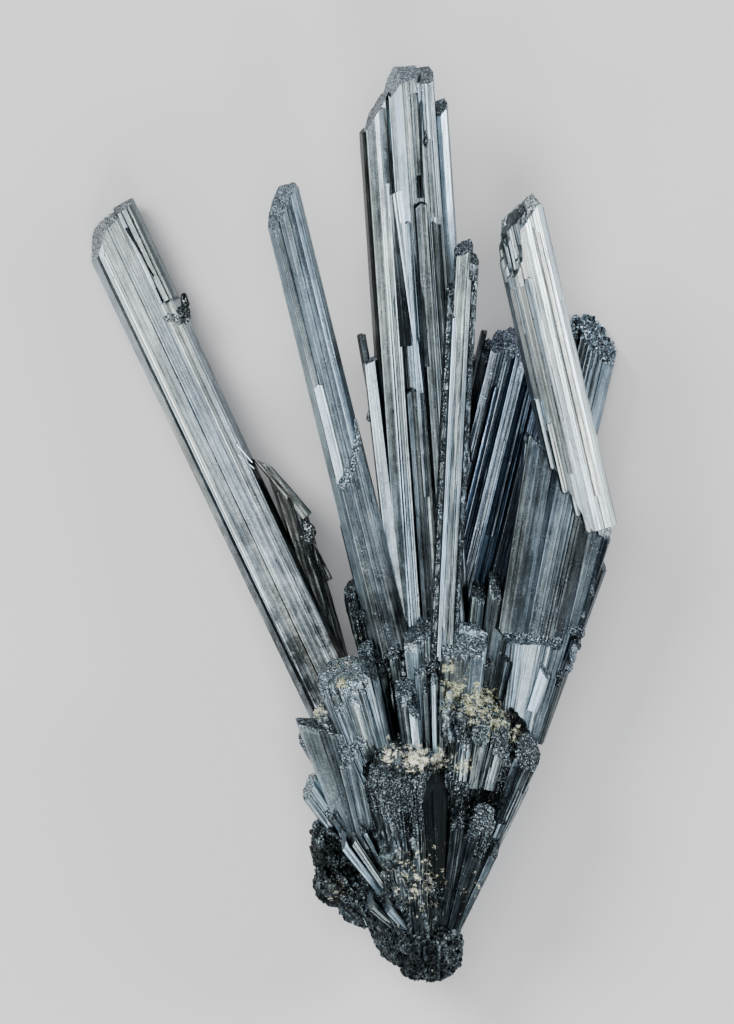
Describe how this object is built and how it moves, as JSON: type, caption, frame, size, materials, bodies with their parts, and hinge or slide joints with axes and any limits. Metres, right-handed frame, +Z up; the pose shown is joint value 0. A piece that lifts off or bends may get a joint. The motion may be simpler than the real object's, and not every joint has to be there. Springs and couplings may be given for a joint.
{
  "type": "stibnite crystal spray",
  "caption": "Spray of long, striated, lead-grey metallic blades fanning out from a crumbly root of shorter crystals, lying on its back.",
  "frame": {"origin": "centre of the bounding box's base, on the surface that the spray lies on", "axes": "+X across the fan to the viewer's right, +Y from the point of the root towards the longest tips, +Z up out of the surface"},
  "size_m": [0.1713, 0.3004, 0.0643],
  "materials": {
    "bright_stibnite": "bright metallic lustre, streaked by fine striae along the crystal",
    "grey_stibnite": "metallic lustre dulled to lead grey, finely striated",
    "dark_stibnite": "mirror-black crystal sides with fine bright striae",
    "root_stibnite": "granular and fibrous metallic grey, with small crusts of cream and ochre oxide"
  },
  "bodies": {
    "root": {"root_cluster": "root_stibnite", "left_blade": "bright_stibnite", "slender_blade": "grey_stibnite", "tall_bundle": "bright_stibnite", "centre_bundle": "bright_stibnite", "dark_bundle": "dark_stibnite", "right_bundle": "grey_stibnite", "back_bundle": "grey_stibnite", "leaning_blade": "bright_stibnite"}
  },
  "joints": []
}
